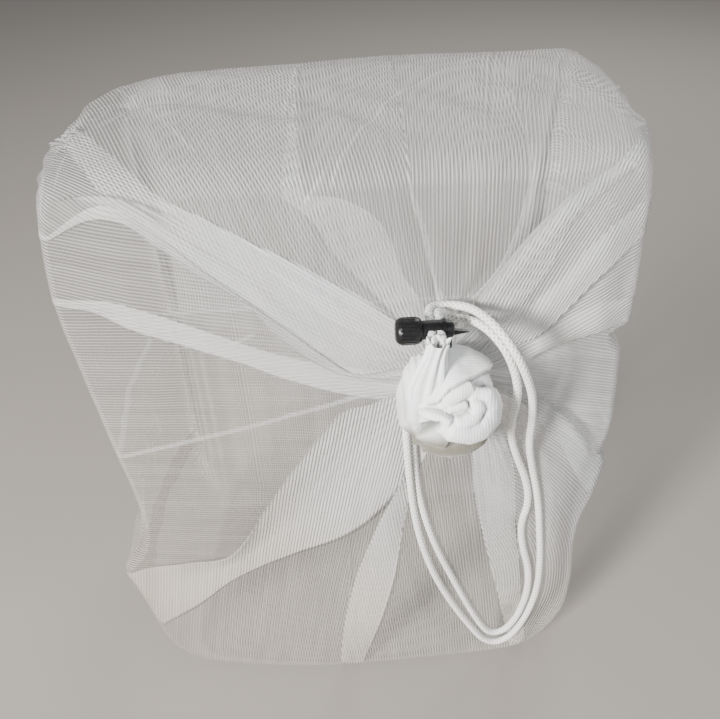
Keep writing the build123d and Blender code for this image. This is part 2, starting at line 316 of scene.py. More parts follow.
# Clockwise round the bag, seen from the front, from the left side seam: front rim (x, z), the
# point (x, z) that the wall behind it reaches at the closed end, and the rim's depth y where
# it isn't RIM_Y.
OUTLINE = [
    (-128.5, 185, -128, 185), (-131, 215, -129, 215), (-134, 245, -130, 248),
    (-136.5, 276, -131, 278), (-135.5, 300, -131, 300), (-133, 321, -129, 320),
    (-129.5, 338, -120, 335, -43), (-117, 345.5, -102, 342, -43), (-70, 346, -65, 345, -43),
    (-20, 346, -20, 346, -43), (30, 346.5, 30, 347.5, -43), (80, 346, 85, 346, -43),
    (121, 346.5, 123, 346, -43), (135, 342, 135, 342, -43), (138.5, 323, 138, 324),
    (138.5, 296, 136, 298), (138.5, 272, 135, 272), (138, 254, 134, 253),
    (130.5, 246.5, 132, 244), (136, 237, 133, 234), (138, 208, 134, 206), (138.5, 186, 134, 185),
    (136, 171, 133, 170), (138, 160, 134, 158), (135, 140, 132, 140), (130, 117, 130, 115),
    (128, 92, 130, 90), (129.5, 64, 130, 60), (128, 35, 127, 34), (120, 14, 119, 14, -43),
    (105, 4, 103, 4, -47), (85, 2, 85, 2, -51), (40, 1.6, 40, 1.2, -53.5), (0, 1.4, 0, 1.2, -55),
    (-40, 1.4, -40, 1.2, -54), (-80, 2.0, -80, 2, -50), (-112, 4, -106, 5, -45),
    (-126, 14, -118, 15), (-132.5, 33, -125, 32), (-136, 57, -127, 56), (-140, 77, -128, 78),
    (-143, 93, -128, 95), (-132, 107, -128, 110), (-125, 128, -127, 130),
    (-125.5, 158, -127, 158),
]


def running(line):
    """Running length at each point of a line."""
    return np.concatenate([[0], np.cumsum(np.linalg.norm(np.diff(line, axis=0), axis=1))])


def unit(vectors):
    return vectors / np.linalg.norm(vectors, axis=-1, keepdims=True)


def smooth_line(points, closed=False, dense=24):
    """Catmull-Rom line through points, as many samples, with its running length."""
    pts = np.array(points, dtype=float)
    if closed:
        ext = np.vstack([pts[-1], pts, pts[0], pts[1]])
    else:
        ext = np.vstack([2 * pts[0] - pts[1], pts, 2 * pts[-1] - pts[-2]])
    steps = np.linspace(0, 1, dense, endpoint=False)[:, None]
    out = []
    for a, b, c, d in zip(ext, ext[1:], ext[2:], ext[3:]):
        out.append(0.5 * (2 * b + (c - a) * steps + (2 * a - 5 * b + 4 * c - d) * steps**2
                          + (3 * b - a - 3 * c + d) * steps**3))
    out = np.vstack(out + [pts[:1] if closed else pts[-1:]])
    return out, running(out[:, :2])


def at(line, run, where):
    """Points of a line at running lengths."""
    return np.stack([np.interp(where, run, line[:, k]) for k in range(line.shape[1])], axis=-1)


RIM, RIM_RUN = smooth_line([(x, z, depth[0] if depth else RIM_Y, back_x, back_z)
                            for x, z, back_x, back_z, *depth in OUTLINE], closed=True)
RIM_LENGTH = RIM_RUN[-1]


def rim_at(where):
    return at(RIM, RIM_RUN, np.mod(where, RIM_LENGTH))


def rim_run(x, z):
    """Running length of the rim point nearest to (x, z)."""
    gap = (RIM[:, 0] - x) ** 2 + (RIM[:, 1] - z) ** 2
    return RIM_RUN[int(np.argmin(gap))]


# Control points of the two free strands of the drawstring.
OUTER_ROUTE = [
    (37, -69.31, 282.3), (37, -63.5, 282.5), (40.6, -58, 281.4), (47.6, -56.8, 280.4),
    (54.5, -61.5, 282), (59.5, -70.5, 284), (65.5, -80.5, 282.5), (72.5, -87, 274),
    (78.5, -86.5, 260), (83.5, -80.5, 243.5), (86.5, -72.5, 223), (88.5, -62.5, 199),
    (93.5, -53.5, 174), (99.5, -51.5, 147), (102.8, -51.2, 119), (105.4, -50.8, 93),
    (106.2, -50.2, 67), (103.2, -49.2, 44), (98.5, -48.4, 27), (93.2, -47.8, 14.6),
    (84.5, -47.6, 7.6), (75.5, -47.8, 11.4), (67.5, -48.4, 25.5), (55, -49.5, 51.5),
    (44, -50.9, 79.5), (36.2, -52.2, 107.5), (31.2, -53.6, 136), (28.8, -55.4, 162),
    (27.4, -57.2, 187), (26.6, -57.4, 206), (27, -56.5, 219.5), (27, -56.5, 232),
]
INNER_ROUTE = [
    (41, -69.31, 282.3), (41, -65, 282.45), (43.4, -61.7, 279.6), (48.2, -61.3, 276.6),
    (53.3, -64.4, 277.3), (57.9, -70, 279.2), (63.4, -77.6, 278.6), (69.4, -83.2, 272),
    (73.6, -84.2, 261), (76, -82, 249.5), (76.9, -77.2, 236.5), (77, -70.6, 221.5),
    (79.2, -61.5, 202.5), (84.6, -54.6, 182), (91.6, -52.8, 162), (94.6, -52.2, 143.5),
    (91.2, -52, 126.5), (93.4, -51.5, 107), (99, -50.7, 86), (100.4, -49.9, 64),
    (97.6, -49.1, 44), (93.6, -48.5, 30), (87, -48.2, 20), (78.4, -48.2, 19.6),
    (71.5, -48.5, 32), (62, -49.4, 56), (52, -50.5, 84), (42.6, -51.8, 112),
    (35.8, -52.6, 140.5), (32, -53.4, 167), (30.4, -53.8, 190), (30.6, -55, 207),
    (31, -56.5, 219.5), (31, -56.5, 232),
]

# Folds clockwise from the left side seam. Each has the line where the cloth turns back, the
# line where it turns forward again, how far each stands off the front, and how much of the
# overlap is left at the closed end. Lines run from the gathered neck out to the rim.
FOLDS = [
    dict(end=[(20, 233), (-6, 243), (-40, 254), (-75, 270), (-110, 284), (-136, 287)],
         start=[(22, 225), (-4, 230), (-33, 240), (-55, 251), (-81, 262), (-105, 272),
                (-120, 280), (-136, 283)], lift=(0.3, 5.0), dense=0.8),
    dict(end=[(16, 246), (-9, 253), (-33, 271), (-58, 297), (-84, 321), (-97, 332),
              (-112, 332), (-133, 320)],
         start=[(14, 238), (-9, 245), (-31, 263), (-45, 283), (-66, 300), (-84, 316),
                (-97, 327), (-112, 328), (-133, 318)], lift=(0.3, 5.0), dense=0.6),
    dict(end=[(27, 269), (8, 288), (-7, 299), (-21, 310), (-40, 323), (-55, 334), (-72, 345)],
         start=[(18, 244), (2, 246), (-13, 260), (-29, 278), (-44, 294), (-62, 312),
                (-76, 328), (-95, 344)], lift=(0.4, 6.5), dense=1.0, back=(-124, 326),
         keep=0.5),
    dict(end=[(35, 283), (28, 297), (18, 328), (2, 342), (-14, 346)],
         start=[(26, 273), (9, 298), (-4, 317), (-11, 333), (-24, 346)], lift=(0.3, 4.0),
         dense=0.5, full=0.42),
    dict(end=[(50, 278), (46, 288), (42, 303), (38, 327), (33, 346)],
         start=[(42, 280), (41, 292), (37, 316), (33, 334), (30, 346)], lift=(0.3, 3.2),
         dense=0.5, full=0.45),
    dict(end=[(55, 279), (63, 289), (75, 306), (82, 326), (86, 346)],
         start=[(52, 277), (59, 286), (70, 303), (77, 324), (82, 346)], lift=(0.3, 3.4),
         dense=0.4, full=0.5),
    dict(end=[(71, 262), (82, 273), (94, 290), (101, 309), (111, 327), (127, 338)],
         start=[(56, 273), (62, 286), (70, 298), (80, 312), (90, 324), (101, 335), (117, 343)],
         lift=(0.4, 6.5), dense=0.95, back=(139, 322), keep=0.5),
    dict(end=[(74, 254), (91, 258), (105, 271), (121, 287), (138, 300)],
         start=[(77, 262), (93, 276), (104, 286), (114, 299), (138, 320)], lift=(5.0, 0.3),
         dense=0.5),
    dict(end=[(84, 242), (96, 247), (110, 251), (124, 253.5), (140, 254)],
         start=[(84, 250), (98, 257), (112, 263), (124, 267), (141, 270)], lift=(5.0, 0.3),
         keep=0.6, dense=0.7),
    dict(end=[(86, 214), (100, 195), (112, 178), (120, 160), (131, 138)],
         start=[(78, 231), (91, 224), (103, 214), (114, 201.5), (124, 187), (134, 171)],
         lift=(0.2, 5.5), keep=0.6, swell=3.0, dense=0.45),
    dict(end=[(58, 212), (62, 178), (63, 158), (66, 138), (72, 106), (84, 47), (92, 2)],
         start=[(72, 212), (84, 176), (88, 141), (92, 104), (97, 64), (101, 30), (104, 8)],
         lift=(0.2, 1.4), dense=0.65),
    dict(end=[(38, 205), (24, 166), (9, 128), (-4, 88), (-13, 46), (-18, 2)],
         start=[(41, 200), (31, 160), (24, 123), (17, 80), (5, 30), (-3, 2)],
         lift=(0.2, 3.0), dense=0.75),
    dict(end=[(12, 224), (-5, 221), (-19, 205), (-32, 186), (-54, 151), (-76, 114),
              (-103, 108), (-129, 101), (-140, 96)],
         start=[(38, 205), (27, 165), (15, 142), (2, 127), (-12, 117), (-38, 105), (-60, 94),
                (-81, 80), (-103, 58), (-129, 38)], lift=(5.5, 0.3), keep=0.7, dense=1.0),
]
SEAMS = [[(36, 235), (-30, 213), (-90, 195), (-129, 185)],
         [(60, 234), (90, 216), (115, 199), (136, 186)]]

# For each flat part of the front between two folds: the direction of its ribs, or the centre of
# their arcs; how much bolder they show; and how thickly the gathered cloth lies, over and above
# one layer.
GRAIN = [(-1, 0.03), (-0.97, 0.22), (-0.8, 0.6), (-0.36, 0.93), (-0.15, 0.99), (0.02, 1),
         (0.12, 0.99), (0.45, 0.89), (0.9, 0.43), (0.94, -0.3), ("arc", -15, 65),
         (0.12, -0.99), (-0.2, -0.98), (-1, 0.03)]
BOLD = [0.2, 0.1, 0.0, 0.0, 0.0, 0.0, 0.0, 0.2, 0.3, 0.6, 1.0, 0.2, 0.1, 0.2]
DENSE = [0.0, 0.10, 0.20, 0.04, 0.0, 0.0, 0.05, 0.40, 0.65, 0.75, 0.30, 0.0, 0.02, 0.0]


class Part:
    """One flat part of the front, or the strip turned back between two of them."""

    def __init__(self, first, last, run, back, lift, grain, strip=False, swell=0.0,
                 dense=0.0, full=0.75, bold=0.0):
        self.first, self.last, self.run, self.back = first, last, run, back
        self.lift, self.grain, self.strip, self.swell = lift, grain, strip, swell
        self.dense, self.full, self.bold = dense, full, bold


def parts_in_order():
    """Parts clockwise from the left seam, and the index where the right seam starts."""
    seam_runs = [rim_run(*SEAMS[0][-1]), rim_run(*SEAMS[1][-1])]
    parts = []
    line, run, back, lift = SEAMS[0], 0.0, 0.0, 0.5
    right = None
    for k, fold in enumerate(FOLDS):
        if k == 9:
            mid = seam_runs[1]
            parts.append(Part(line, SEAMS[1], (run, mid), (back, mid), (lift, 0.5), GRAIN[k],
                              dense=DENSE[k], bold=BOLD[k]))
            right = len(parts)
            line, run, back, lift = SEAMS[1], mid, mid, 0.5
        end_run, start_run = rim_run(*fold["end"][-1]), rim_run(*fold["start"][-1])
        keep = fold.get("keep", 0.0) * 0.3
        middle = rim_run(*fold["back"]) if "back" in fold else (end_run + start_run) / 2
        half = 0.5 * keep * (end_run - start_run) + 0.15
        end_back, start_back = middle + half, middle - half
        swell = FOLDS[k - 1].get("swell", 0.0) if k else 0.0
        parts.append(Part(line, fold["end"], (run, end_run), (back, end_back),
                          (lift, fold["lift"][0]), GRAIN[k], swell=swell, dense=DENSE[k],
                          bold=BOLD[k]))
        parts.append(Part(fold["end"], fold["start"], (end_run, start_run),
                          (end_back, start_back), fold["lift"], GRAIN[k], strip=True,
                          dense=fold["dense"], full=fold.get("full", 0.75)))
        line, run, back, lift = fold["start"], start_run, start_back, fold["lift"][1]
    parts.append(Part(line, SEAMS[0], (run, RIM_LENGTH), (back, RIM_LENGTH), (lift, 0.5),
                      GRAIN[-1], bold=BOLD[-1]))
    return parts, right


FRONT_ROWS = np.linspace(0, 1, 62)


def deviation(points, rows):
    """A line's start, end and how it strays from the straight line between them."""
    root = np.array([KNOT_X, KNOT_Z]) + NECK_R * unit(np.array(points[0]) - (KNOT_X, KNOT_Z))
    line, run = smooth_line([tuple(root)] + points)
    spots = at(line, run, rows * run[-1])
    chord = spots[0] + (spots[-1] - spots[0]) * rows[:, None]
    return spots[0], spots[-1], spots - chord


def smoothstep(x):
    x = np.clip(x, 0, 1)
    return x * x * (3 - 2 * x)


def column_spread(part):
    """Fractions across a part at which its columns stand."""
    width = abs(part.run[1] - part.run[0])
    reach = max(width, 30.0)
    if part.strip:
        return np.array([0, 0.06, 0.5, 0.94, 1.0])
    count = max(5, int(reach / 3.6))
    inner = np.linspace(0, 1, count + 1)[1:-1]
    thin = 0.9 / reach
    return np.concatenate([[0, thin], inner, [1 - thin, 1]])


def tent(x, z, rim_x, rim_z, rim_y):
    """Depth of the plain front at a point: it slopes evenly from the neck to the rim."""
    full = np.hypot(rim_x - KNOT_X, rim_z - KNOT_Z) - NECK_R
    here = np.hypot(x - KNOT_X, z - KNOT_Z) - NECK_R
    return NECK_Y + (rim_y - NECK_Y) * np.clip(here / full, 0, 1)


def build_columns():
    """Every column of the bag from the neck to the back seam, and what its texture needs."""
    parts, right_part = parts_in_order()
    rows = FRONT_ROWS
    columns, uvs, edges, dense, bold, marks = [], [], [], [], [], {}
    u_base = 0.0
    phase = 0
    for number, part in enumerate(parts):
        a0, a1, a_dev = deviation(part.first, rows)
        b0, b1, b_dev = deviation(part.last, rows)
        if number == right_part:
            marks["right"] = len(columns)
        spread = column_spread(part)
        grain = part.grain
        for k, f in enumerate(spread):
            if k == 0 and number not in (0, right_part):
                continue
            run = part.run[0] + f * (part.run[1] - part.run[0])
            back_run = part.back[0] + f * (part.back[1] - part.back[0])
            rim = rim_at(run)
            angle0 = atan2(a0[1] - KNOT_Z, a0[0] - KNOT_X)
            angle1 = atan2(b0[1] - KNOT_Z, b0[0] - KNOT_X)
            turn = (angle1 - angle0 + pi) % (2 * pi) - pi
            angle = angle0 + f * turn
            root = np.array([KNOT_X + NECK_R * cos(angle),
                             KNOT_Z + NECK_R * sin(angle)])
            inset_rim = rim[:2] - rim_round(*rim[:2])[0] * outward(run)
            line = root + (inset_rim - root) * rows[:, None]
            line = line + (1 - f) * a_dev + f * b_dev
            depth = tent(line[:, 0], line[:, 1], rim[0], rim[1], rim[2])
            lift = (1 - f) * part.lift[0] + f * part.lift[1]
            fade = smoothstep(rows / 0.22) * (1 - 0.75 * smoothstep((rows - 0.8) / 0.2))
            swell = (0.6 + part.swell) * sin(pi * f) * np.sin(pi * rows) ** 0.8
            if part.strip:
                swell = 0
            else:
                width = np.linalg.norm(b_dev + b1 - (a_dev + a1), axis=1) * rows
                width = np.maximum(width, 4.0)
                for front_lift, gap in zip(part.lift, (f * width, (1 - f) * width)):
                    if front_lift > 1.0:
                        swell = swell + 0.55 * front_lift * np.exp(-((gap - 5) / 8.0) ** 2) * (
                            np.sin(pi * rows) ** 0.7)
            phase += 1
            reach = np.hypot(line[:, 0] - KNOT_X, line[:, 1] - KNOT_Z)
            gather = 0.9 * np.exp(-reach / 34.0) + 0.4 * np.exp(-(((reach - 60) / 42.0) ** 2))
            pleat = gather * sin(phase * PLEAT_TURN)
            height = lift * fade + swell + pleat
            front = np.column_stack([line[:, 0], depth - height, line[:, 1]])
            columns.append(whole_column(front, root, angle, phase, run, back_run, rim))
            uvs.append(whole_uv(columns[-1], grain, outward(run)))
            starts, ends = k == 0, k == len(spread) - 1
            at_seam = (starts and number in (0, right_part)) or (
                ends and number in (right_part - 1, len(parts) - 1))
            count = NECK_ROWS + len(rows)
            edge = np.zeros(len(columns[-1]))
            if (starts or ends) and not at_seam:
                edge[NECK_ROWS:count] = smoothstep((rows - 0.03) / 0.1) * (
                    1 - smoothstep((rows - 0.88) / 0.12))
            edges.append(edge)
            thick = np.full(len(columns[-1]), 0.25 * part.dense + 0.15)
            thick[:NECK_ROWS] = 1.0
            drop = 0.5 if part.full > 0.7 else 0.85
            thinned = 1 - drop * smoothstep((rows - part.full) / 0.25)
            thick[NECK_ROWS:count] = part.dense * thinned
            thick[NECK_ROWS:count] += np.exp(-(reach - NECK_R) / 11.0)
            dense.append(np.clip(thick, 0, 1))
            ribbed = np.full(len(columns[-1]), 0.9)
            ribbed[:count] = part.bold
            bold.append(ribbed)
    return columns, uvs, edges, dense, bold, marks


PLEAT_TURN = 2 * pi / 6.2  # the neck's pleats come every 6.2 columns
NECK_ROWS = 4
ROUND_ROWS = 7
WALL_ROWS = 16
BACK_ROWS = 26


def outward(run):
    """Direction out of the outline, in X and Z."""
    before, after = rim_at(run - 1.5)[:2], rim_at(run + 1.5)[:2]
    along = unit(after - before)
    return np.array([-along[1], along[0]])


def drift(w):
    """How far a column has moved from its place on the rim to its place at the closed end."""
    return 1 - (1 - w) ** 2.4


def rim_round(x, z):
    """How far the rim's rounding reaches across the front and along the wall."""
    top = float(smoothstep((z - 315.0) / 25.0) * (1 - 0.6 * smoothstep((abs(x) - 95.0) / 25.0)))
    return 5.0 + 9.0 * top, 6.5 + 12.0 * top


def whole_column(front, root, angle, phase, run, back_run, rim):
    """Neck, front, rim, wall, back rim and closed end of one column."""
    out = []
    for k in range(NECK_ROWS):
        away = 1 - k / NECK_ROWS
        r = NECK_R - 2.2 * away + 0.5 * sin(phase * PLEAT_TURN)
        out.append((KNOT_X + r * cos(angle), NECK_Y - 12.0 * away,
                    KNOT_Z + r * sin(angle)))
    out.extend(map(tuple, front))
    last = front[-1]
    across, along = rim_round(*rim[:2])
    for k in range(1, ROUND_ROWS + 1):
        turn = pi / 2 * k / ROUND_ROWS
        here_run = run + (back_run - run) * drift(0.16 * k / ROUND_ROWS)
        spot = rim_at(here_run)[:2] - across * (1 - sin(turn)) * outward(here_run)
        depth = last[1] + (1 - cos(turn)) * along
        out.append((spot[0], depth, spot[1]))
    edge_y = out[-1][1]
    for k in range(1, WALL_ROWS + 1):
        w = k / WALL_ROWS
        here = rim_at(run + (back_run - run) * drift(0.16 + 0.84 * w))
        x = here[0] + (here[3] - here[0]) * w
        z = here[1] + (here[4] - here[1]) * w
        bulge = wall_bulge(x, z) * sin(pi * w)
        direction = outward(back_run)
        x += bulge * direction[0]
        z += bulge * direction[1]
        out.append((x, edge_y + (WALL_TO - edge_y) * w, z))
    side = rim_at(back_run)
    direction = outward(back_run)
    for k in range(1, ROUND_ROWS + 1):
        turn = pi / 2 * k / ROUND_ROWS
        shift = 9.0 * (1 - cos(turn))
        out.append((side[3] - shift * direction[0],
                    WALL_TO + (BACK_Y - WALL_TO) * sin(turn),
                    side[4] - shift * direction[1]))
    x0, _, z0 = out[-1]
    x1 = max(-124.0, min(124.0, x0))
    reach = abs(z0 - END_SEAM_Z)
    if abs(x0) > 112:
        x1 = copysign(124.0 - 0.08 * max(0.0, reach - 20), x0)
    for k in range(1, BACK_ROWS + 1):
        q = k / BACK_ROWS
        s = 1 - (1 - q) ** 1.15
        folds = 0.9 + 1.7 * smoothstep((abs(x0) - 80) / 40)
        pucker = folds * sin(phase * 2 * pi / 7.3) * sin(pi * q) ** 0.7
        pucker += 1.6 * sin(pi * q)
        out.append((x0 + (x1 - x0) * s, BACK_Y - 1.2 + pucker - 1.6 * q**6,
                    z0 + (END_SEAM_Z - z0) * s))
    return np.array(out)


def wall_bulge(x, z):
    """How far the filled bag's sides swell between its rim and its closed end."""
    if z > 335:
        return 0.5
    if z < 12:
        return 0.0
    if z > 280 and abs(x) > 100:
        return 7.5
    return 2.0


def rib_distance(x, z, grain):
    """Distance across the ribs, in a part whose ribs run along grain."""
    if grain[0] == "arc":
        return np.hypot(x - grain[1], z - grain[2])
    return (x * grain[1] - z * grain[0]) / hypot(*grain)


def whole_uv(column, grain, normal):
    """Rib distance and running length of a column, in metres. The ribs carry on straight
    from the front over the rim and along the wall."""
    wall_end = len(column) - BACK_ROWS
    last_y = column[NECK_ROWS + len(FRONT_ROWS) - 1][1]
    beyond = np.maximum(column[:, 1] - last_y, 0.0)
    beyond[:NECK_ROWS + len(FRONT_ROWS)] = 0.0
    u = rib_distance(column[:, 0] + normal[0] * beyond, column[:, 2] + normal[1] * beyond, grain)
    u[:NECK_ROWS] = u[NECK_ROWS]
    u[wall_end:] = u[wall_end - 1]
    return np.column_stack([u, running(column)]) * MM


def crumple(points):
    """Folds, small creases and billows, along each point's rough outward direction."""
    out = points.copy()
    for index, (x, y, z) in enumerate(points):
        fold = 0.0
        if y < -38:
            way = np.array((0.0, -1.0, 0.0))
            amount = smoothstep((hypot(x - KNOT_X, z - KNOT_Z) - 18) / 60)
            if 24 < x < 112 and z < 235:
                amount *= 0.45
        elif y > 92:
            way = np.array((0.0, 1.0, 0.0))
            amount = 1.6 * min(1.0, abs(z - END_SEAM_Z) / 12.0)
            pucker = 1 - 2.4 * abs(noise.noise(Vector((x / 15, z / 95, 7.0))))
            near_seam = exp(-abs(z - END_SEAM_Z) / 70.0) * min(1.0, abs(z - END_SEAM_Z) / 14.0)
            fold = 4.2 * pucker * near_seam
        else:
            sideways, upright = (abs(x) / 137) ** 8, (abs(z - 175) / 172) ** 8
            size = hypot(sideways, upright)
            way = np.array((copysign(sideways, x), 0.0, copysign(upright, z - 175)))
            way = way / size
            side = sideways / (sideways + upright)
            low = smoothstep((z - 6) / 30)
            amount = (1.5 + 0.8 * side) * smoothstep((y + 40) / 25) * low
            across = side * z + (1 - side) * x
            slant = noise.noise(Vector(((y + 0.7 * across) / 30, (across - 0.5 * y) / 110, 3.0)))
            calm = smoothstep((y + 30) / 30) * smoothstep((94 - y) / 30) * low
            fold = 4.6 * (1 - 2.2 * abs(slant)) * calm
        big = noise.noise(Vector((x / 52, y / 60, z / 52)))
        mid = noise.noise(Vector((x / 21 + 9, y / 26, z / 21)))
        ridge = 1 - abs(noise.noise(Vector((x / 33 + 4, y / 40 + 2, z / 33)))) * 2
        shift = (1.1 * big + 0.5 * mid + 0.9 * max(0.0, ridge - 0.72)) * amount
        out[index] = (x, y, z) + (shift + fold) * way
    return out


columns, uvs, edges, dense, bold, marks = build_columns()
points = np.array(columns)
count, height = points.shape[:2]
flat_points = crumple(points.reshape(-1, 3)).reshape(points.shape)
flat_points[:, :, 2] = np.maximum(flat_points[:, :, 2], 0.9)
uvs, edges, dense, bold = np.array(uvs), np.array(edges), np.array(dense), np.array(bold)
RIGHT = marks["right"]
flat_points[RIGHT] = flat_points[RIGHT - 1]
flat_points[-1] = flat_points[0]


def behind_cords(grid):
    """Cloth pressed back where a strand of the drawstring hangs against it."""
    out = grid.copy()
    rows = slice(NECK_ROWS, NECK_ROWS + len(FRONT_ROWS))
    front = out[:, rows].reshape(-1, 3)
    for route in (OUTER_ROUTE, INNER_ROUTE):
        line, run = smooth_line(route, dense=14)
        line = line[line[:, 1] > -72]
        for part in np.array_split(np.arange(len(front)), 12):
            gap = np.hypot(front[part, None, 0] - line[None, :, 0],
                           front[part, None, 2] - line[None, :, 2])
            limit = (line[None, :, 1] + 2.35 - 0.5 * np.maximum(0, gap - 2.2)).max(axis=1)
            front[part, 1] = np.maximum(front[part, 1], np.minimum(limit, -38.0))
    out[:, rows] = front.reshape(out[:, rows].shape)
    return out


flat_points = behind_cords(flat_points)


def panel(name, low, high):
    """One of the bag's two panels, from column low to column high."""
    part = flat_points[low:high] * MM
    wide = part.shape[0]
    mesh_points = part.transpose(1, 0, 2).reshape(-1, 3)
    uv = uvs[low:high].transpose(1, 0, 2).reshape(-1, 2)
    edge = edges[low:high].T.ravel()
    thick = dense[low:high].T.ravel()
    faces = grid_faces(height, wide)
    return build(name, mesh_points, faces, MESH_CLOTH, uv=uv,
                 floats={"edge": edge, "dense": thick, "bold": bold[low:high].T.ravel()})


upper = panel("bag_upper_cloth", 0, RIGHT)
lower = panel("bag_lower_cloth", RIGHT, count)

# Seam allowances: narrow overlocked strips that stand into the bag along the two side seams
# and across the closed end.
SEAM_DEPTH = 3.4


def allowance(name, line, inward):
    """Strip that follows a line and stands inward from it."""
    line = np.array(line)
    run = running(line)
    where = np.arange(0, run[-1], 1.1)
    spots = at(line, run, where)
    push = unit(at(np.array(inward), run, where))
    side = np.cross(unit(np.gradient(spots, axis=0)), push)
    rows = []
    for k, (depth, out) in enumerate([(0.15, 0.45), (1.2, 0.6), (SEAM_DEPTH, 0.25),
                                      (SEAM_DEPTH, -0.25), (1.2, -0.6), (0.15, -0.45)]):
        wave = 0.22 * np.sin(where * 2 * pi / 4.4 + k)[:, None]
        rows.append(spots + push * depth + side * (out + wave))
    grid = np.array(rows).transpose(1, 0, 2)
    uv = np.array([[(w * MM, k * 0.8 * MM) for k in range(6)] for w in where]).reshape(-1, 2)
    return build(name, grid.reshape(-1, 3) * MM, grid_faces(len(where), 6, closed=True),
                 THREAD, uv=uv)


def side_allowance(name, column, side):
    low, high = NECK_ROWS + 4, height - BACK_ROWS - ROUND_ROWS
    line = flat_points[column][low:high]
    inward = []
    for p in line:
        mixed = smoothstep(np.array((p[1] + 44) / 10))
        inward.append((-side * float(mixed), 1 - float(mixed), 0.0))
    return allowance(name, line, inward)


left_seam = side_allowance("side_overlock_left", 0, -1)
right_seam = side_allowance("side_overlock_right", RIGHT - 1, 1)
back_line = [(x, BACK_Y - 2.8, END_SEAM_Z) for x in np.linspace(-124, 124, 60)]
end_seam = allowance("closed_end_overlock", back_line, [(0, -1, 0)] * 60)

# The gathered hem: a bundle of folds, lit from above, with a hollow near its lower left.
# Its face is worked out in two coordinates, a to the right and b upward as the camera sees
# it, in units of the bundle's radius.
BALL_AT = np.array([44.4, -79.0, 241.0])
BALL_R = 22.5
BALL_SIZE = np.array([23.2, 22.2, 29.0])
RIGHT_WAY = np.array([1.0, 0.0, 0.0])
UP_WAY = np.array([0.0, 0.599, 0.8007])
TO_CAMERA = np.array([0.0, -0.8007, 0.599])


def from_line(a, b, line):
    """Distance to a line of points, which side it is on, and how far along (0 to 1)."""
    best = np.full(a.shape, 9.0)
    side = np.zeros(a.shape)
    along = np.zeros(a.shape)
    for k, ((a0, b0), (a1, b1)) in enumerate(zip(line, line[1:])):
        da, db = a1 - a0, b1 - b0
        size = da * da + db * db
        t = np.clip(((a - a0) * da + (b - b0) * db) / size, 0, 1)
        ga, gb = a - a0 - t * da, b - b0 - t * db
        gap = np.hypot(ga, gb)
        near = gap < best
        best = np.where(near, gap, best)
        side = np.where(near, np.sign(da * gb - db * ga), side)
        along = np.where(near, (k + t) / (len(line) - 1), along)
    return best, side, along


def ridge(a, b, line, width, tall):
    """Rounded ridge, or valley where tall is negative, that fades at the line's ends."""
    gap, _, along = from_line(a, b, line)
    ends = np.minimum(1, 7 * np.minimum(along + 0.02, 1.02 - along))
    return tall * np.exp(-(gap / width) ** 2) * ends


def step(a, b, line, tall, reach, sharp=0.03):
    """Cloth edge: higher on the line's left side, and sinking back over reach."""
    gap, side, along = from_line(a, b, line)
    ends = np.minimum(1, 6 * np.minimum(along + 0.03, 1.03 - along))
    signed = gap * side
    sunk = np.exp(-np.maximum(signed, 0) / reach)
    return tall * ends * smoothstep((signed + sharp) / (2 * sharp)) * sunk


def roll(a, b, line, radius, lift):
    """Rolled fold: the upper side of a soft bar bent along a line."""
    gap, _, along = from_line(a, b, line)
    crown = lift + np.sqrt(np.maximum(radius**2 - gap**2, 0))
    ends = 0.10 * (1 - np.minimum(1, 9 * np.minimum(along + 0.01, 1.01 - along)))
    return np.where(gap < radius, crown, lift - 2.5 * (gap - radius)) - ends


def over(low, high, soft=0.02):
    """The higher of two surfaces, with a slightly softened join."""
    return 0.5 * (low + high + np.sqrt((low - high) ** 2 + soft**2))


# Rolled folds of the gathered hem: line, radius and lift, in units of the bundle's radius.
ROLLS = [
    ([(-0.20, 0.06), (0.02, 0.17), (0.22, 0.27), (0.42, 0.35)], 0.15, 0.00),
    ([(-0.12, -0.07), (0.10, -0.03), (0.30, 0.02)], 0.08, 0.04),
    ([(0.44, 0.10), (0.49, -0.08), (0.40, -0.24), (0.20, -0.33), (0.00, -0.36)], 0.13, 0.06),
    ([(-0.70, -0.50), (-0.50, -0.60), (-0.28, -0.66), (-0.05, -0.76)], 0.16, -0.03),
    ([(-0.62, -0.78), (-0.35, -0.90), (0.0, -0.98), (0.40, -0.95), (0.76, -0.78),
      (1.0, -0.45)], 0.15, -0.06),
    ([(-0.95, 0.75), (-1.02, 0.30), (-1.0, -0.10), (-0.92, -0.50)], 0.13, -0.03),
    ([(-0.78, 0.95), (-0.80, 0.50), (-0.78, 0.10), (-0.80, -0.42)], 0.11, 0.00),
    ([(-0.64, 1.05), (-0.67, 0.60), (-0.63, 0.16)], 0.075, 0.05),
    ([(-0.50, 1.05), (-0.55, 0.60), (-0.60, 0.16)], 0.065, 0.06),
    ([(-0.34, 1.00), (-0.44, 0.60), (-0.57, 0.18)], 0.08, 0.05),
]
CURL = [(0.50, 0.22), (0.70, 0.13), (0.80, -0.08), (0.76, -0.32), (0.58, -0.50), (0.30, -0.56),
        (0.02, -0.50), (-0.14, -0.42)]


